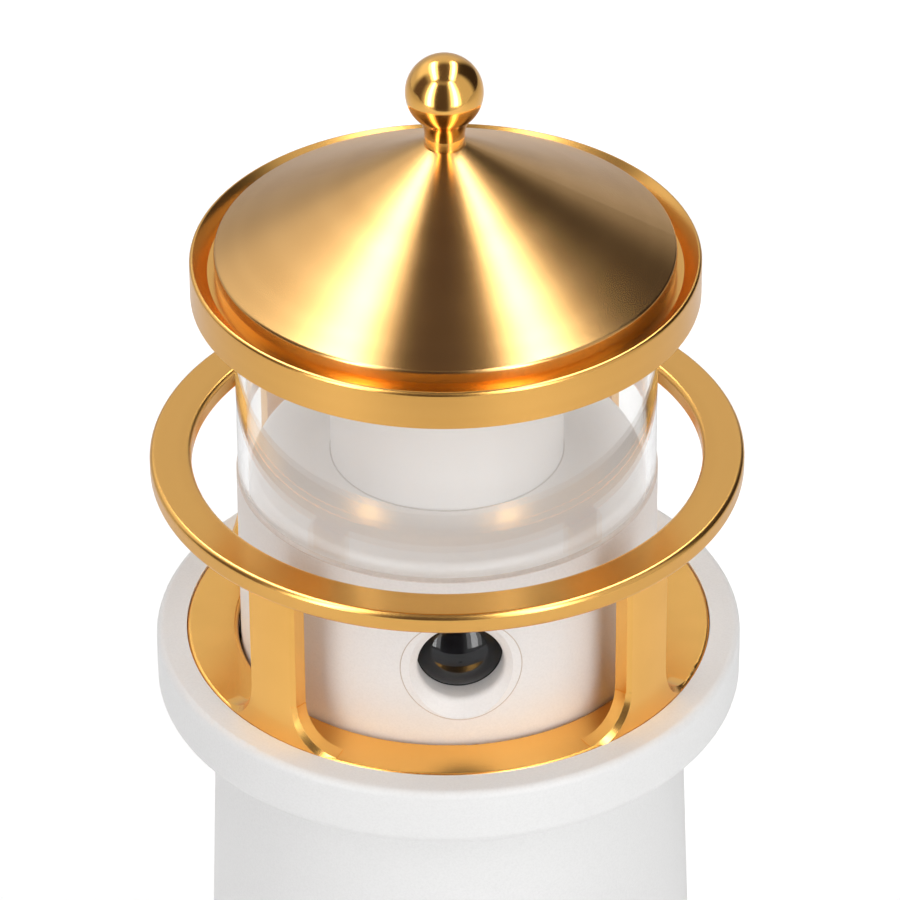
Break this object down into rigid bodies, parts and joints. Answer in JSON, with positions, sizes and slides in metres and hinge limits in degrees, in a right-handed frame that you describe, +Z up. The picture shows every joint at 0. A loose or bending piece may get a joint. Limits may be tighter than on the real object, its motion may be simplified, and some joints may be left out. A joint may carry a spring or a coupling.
{
  "type": "lighthouse projection lamp",
  "caption": "Table lamp shaped as a lighthouse: white tower and deck, gold cage, rail and roof, turning projector drum with lens under a clear glass lantern.",
  "frame": {"origin": "centre of the foot on the table", "axes": "+Z up along the tower; -Y is the way the lens looks at rest; +X is on the right of someone who faces the lens"},
  "size_m": [0.12, 0.12, 0.26],
  "materials": {
    "white_shell": "fine matt moulded shell",
    "white_drum": "fine matt moulded shell",
    "white_inner": "smooth moulded plastic",
    "opal_column": "smooth opal diffuser",
    "gold_turned": "gold anodised, fine turned satin",
    "gold_cage": "gold anodised satin",
    "gold_polished": "gold anodised, polished",
    "clear_glass": "clear polished",
    "lens_glass": "coated polished",
    "black_plastic": "matt moulded",
    "black_rubber": "matt non-slip",
    "steel": "zinc plated",
    "aluminium": "plain milled",
    "cell_sleeve": "shrink sleeve over a metal can",
    "board": "solder mask",
    "acetal": "smooth natural acetal",
    "led_phosphor": "phosphor under clear resin"
  },
  "bodies": {
    "tower": {"tower_shell": "white_shell", "base_plate": "white_shell", "foot_ring": "black_rubber", "ballast_ring": "steel", "base_screws": "steel", "battery_holder": "black_plastic", "battery_cell": "cell_sleeve", "main_board": "board", "charging_socket": "steel", "button_switch": "black_plastic", "gallery_deck": "white_shell", "deck_screws": "steel", "gallery_cage": "gold_cage", "gallery_rail": "gold_turned", "turntable_bush": "acetal", "drive_motor": "steel", "motor_bracket": "steel", "motor_screws": "steel", "bracket_screws": "steel", "slip_ring_core": "black_plastic"},
    "power_button": {"power_button": "white_shell"},
    "motor_pinion": {"motor_shaft": "steel", "drive_pinion": "acetal"},
    "head": {"slip_ring_housing": "aluminium", "turntable_hub": "white_inner", "hub_screws": "steel", "drum_gear": "acetal", "hub_clip": "steel", "projector_drum": "white_drum", "lens_bezel": "white_drum", "projection_lens": "lens_glass", "lens_barrel": "black_plastic", "image_slide": "lens_glass", "slide_ring": "black_plastic", "condenser_lens": "lens_glass", "barrel_cradle": "black_plastic", "led_board": "board", "projector_led": "led_phosphor", "heat_sink": "aluminium", "lantern_floor": "white_inner", "lantern_glass": "clear_glass", "lantern_column": "opal_column", "lantern_leds": "board", "led_post": "aluminium", "column_cap": "black_plastic", "dimmer_body": "steel"},
    "press_plunger": {"press_plunger": "acetal"},
    "roof": {"dimmer_shaft": "steel", "roof_hub": "white_inner", "roof_rim": "gold_turned", "roof_cone": "gold_turned", "finial": "gold_polished"}
  },
  "joints": [
    {"name": "head_turn", "type": "hinge", "parent": "tower", "child": "head", "pos_m": [0, 0, 0.12], "axis": [0, 0, 1], "continuous": true},
    {"name": "motor_spin", "type": "hinge", "parent": "tower", "child": "motor_pinion", "pos_m": [0.0361, 0, 0.109], "axis": [0, 0, 1], "continuous": true},
    {"name": "roof_press", "type": "slide", "parent": "head", "child": "press_plunger", "axis": [0, 0, -1], "range_m": [0, 0.001], "stiffness_N_per_m": 2500, "springref_m": -0.001},
    {"name": "roof_turn", "type": "hinge", "parent": "press_plunger", "child": "roof", "pos_m": [0, 0, 0.2], "axis": [0, 0, 1], "range_deg": [0, 300]},
    {"name": "power_press", "type": "slide", "parent": "tower", "child": "power_button", "axis": [0, -1, 0], "range_m": [0, 0.0006], "stiffness_N_per_m": 1500, "springref_m": -0.0004}
  ],
  "couplings": [
    {"joint": "motor_spin", "follows": "head_turn", "ratio": -5}
  ]
}
